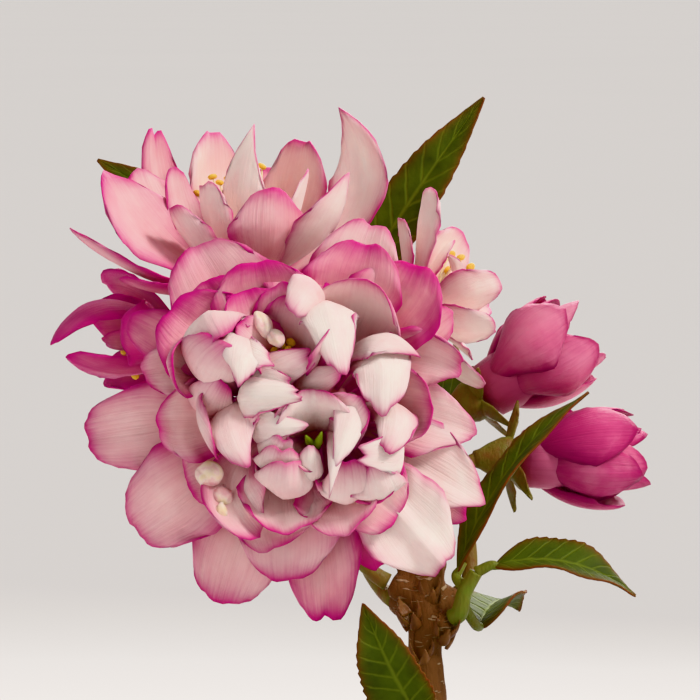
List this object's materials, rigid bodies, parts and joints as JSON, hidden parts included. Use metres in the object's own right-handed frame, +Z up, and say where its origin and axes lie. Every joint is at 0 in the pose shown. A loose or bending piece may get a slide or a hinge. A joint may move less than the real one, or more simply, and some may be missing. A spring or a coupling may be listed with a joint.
{
  "type": "flowering almond bonsai",
  "caption": "Small flowering almond bonsai in double pink bloom, with deep pink buds and young toothed leaves, in a plain oval tray.",
  "frame": {"origin": "centre of the whole tree's footprint, on the surface that the tray stands on", "axes": "+X to the right of the tree's front, +Y from its front to its back, +Z up"},
  "size_m": [0.138, 0.118, 0.1654],
  "materials": {
    "stoneware": "unglazed brown stoneware with fine speckles",
    "soil": "damp crumbly potting grit with moss",
    "bark": "rough brown-grey bark with pale lenticels",
    "petal": "soft matte petal, pale pink with a magenta rim",
    "bud": "soft matte petal, deep pink",
    "calyx": "soft green flushed with red-brown",
    "leaf": "satin leaf with a reddish toothed rim"
  },
  "bodies": {
    "root": {"tray": "stoneware", "soil": "soil", "wood": "bark", "front_bloom_petals": "petal", "front_bloom_calyx": "calyx", "top_bloom_petals": "petal", "top_bloom_calyx": "calyx", "left_bloom_petals": "petal", "left_bloom_calyx": "calyx", "right_bloom_petals": "petal", "right_bloom_calyx": "calyx", "upper_bud_petals": "bud", "upper_bud_calyx": "calyx", "lower_bud_petals": "bud", "lower_bud_calyx": "calyx", "left_spray_bloom_petals": "petal", "left_spray_bloom_calyx": "calyx", "left_spray_goblet_petals": "petal", "left_spray_goblet_calyx": "calyx", "right_spray_bloom_petals": "petal", "right_spray_bloom_calyx": "calyx", "right_spray_bud_petals": "bud", "right_spray_bud_calyx": "calyx", "back_spray_bloom_petals": "petal", "back_spray_bloom_calyx": "calyx", "back_spray_bud_petals": "bud", "back_spray_bud_calyx": "calyx", "front_spray_bloom_petals": "petal", "front_spray_bloom_calyx": "calyx", "tip_shoot": "leaf", "back_shoot": "leaf", "low_tip_shoot": "leaf", "left_shoot": "leaf", "right_shoot": "leaf", "back_left_shoot": "leaf", "front_shoot": "leaf", "mid_shoot": "leaf"}
  },
  "joints": []
}
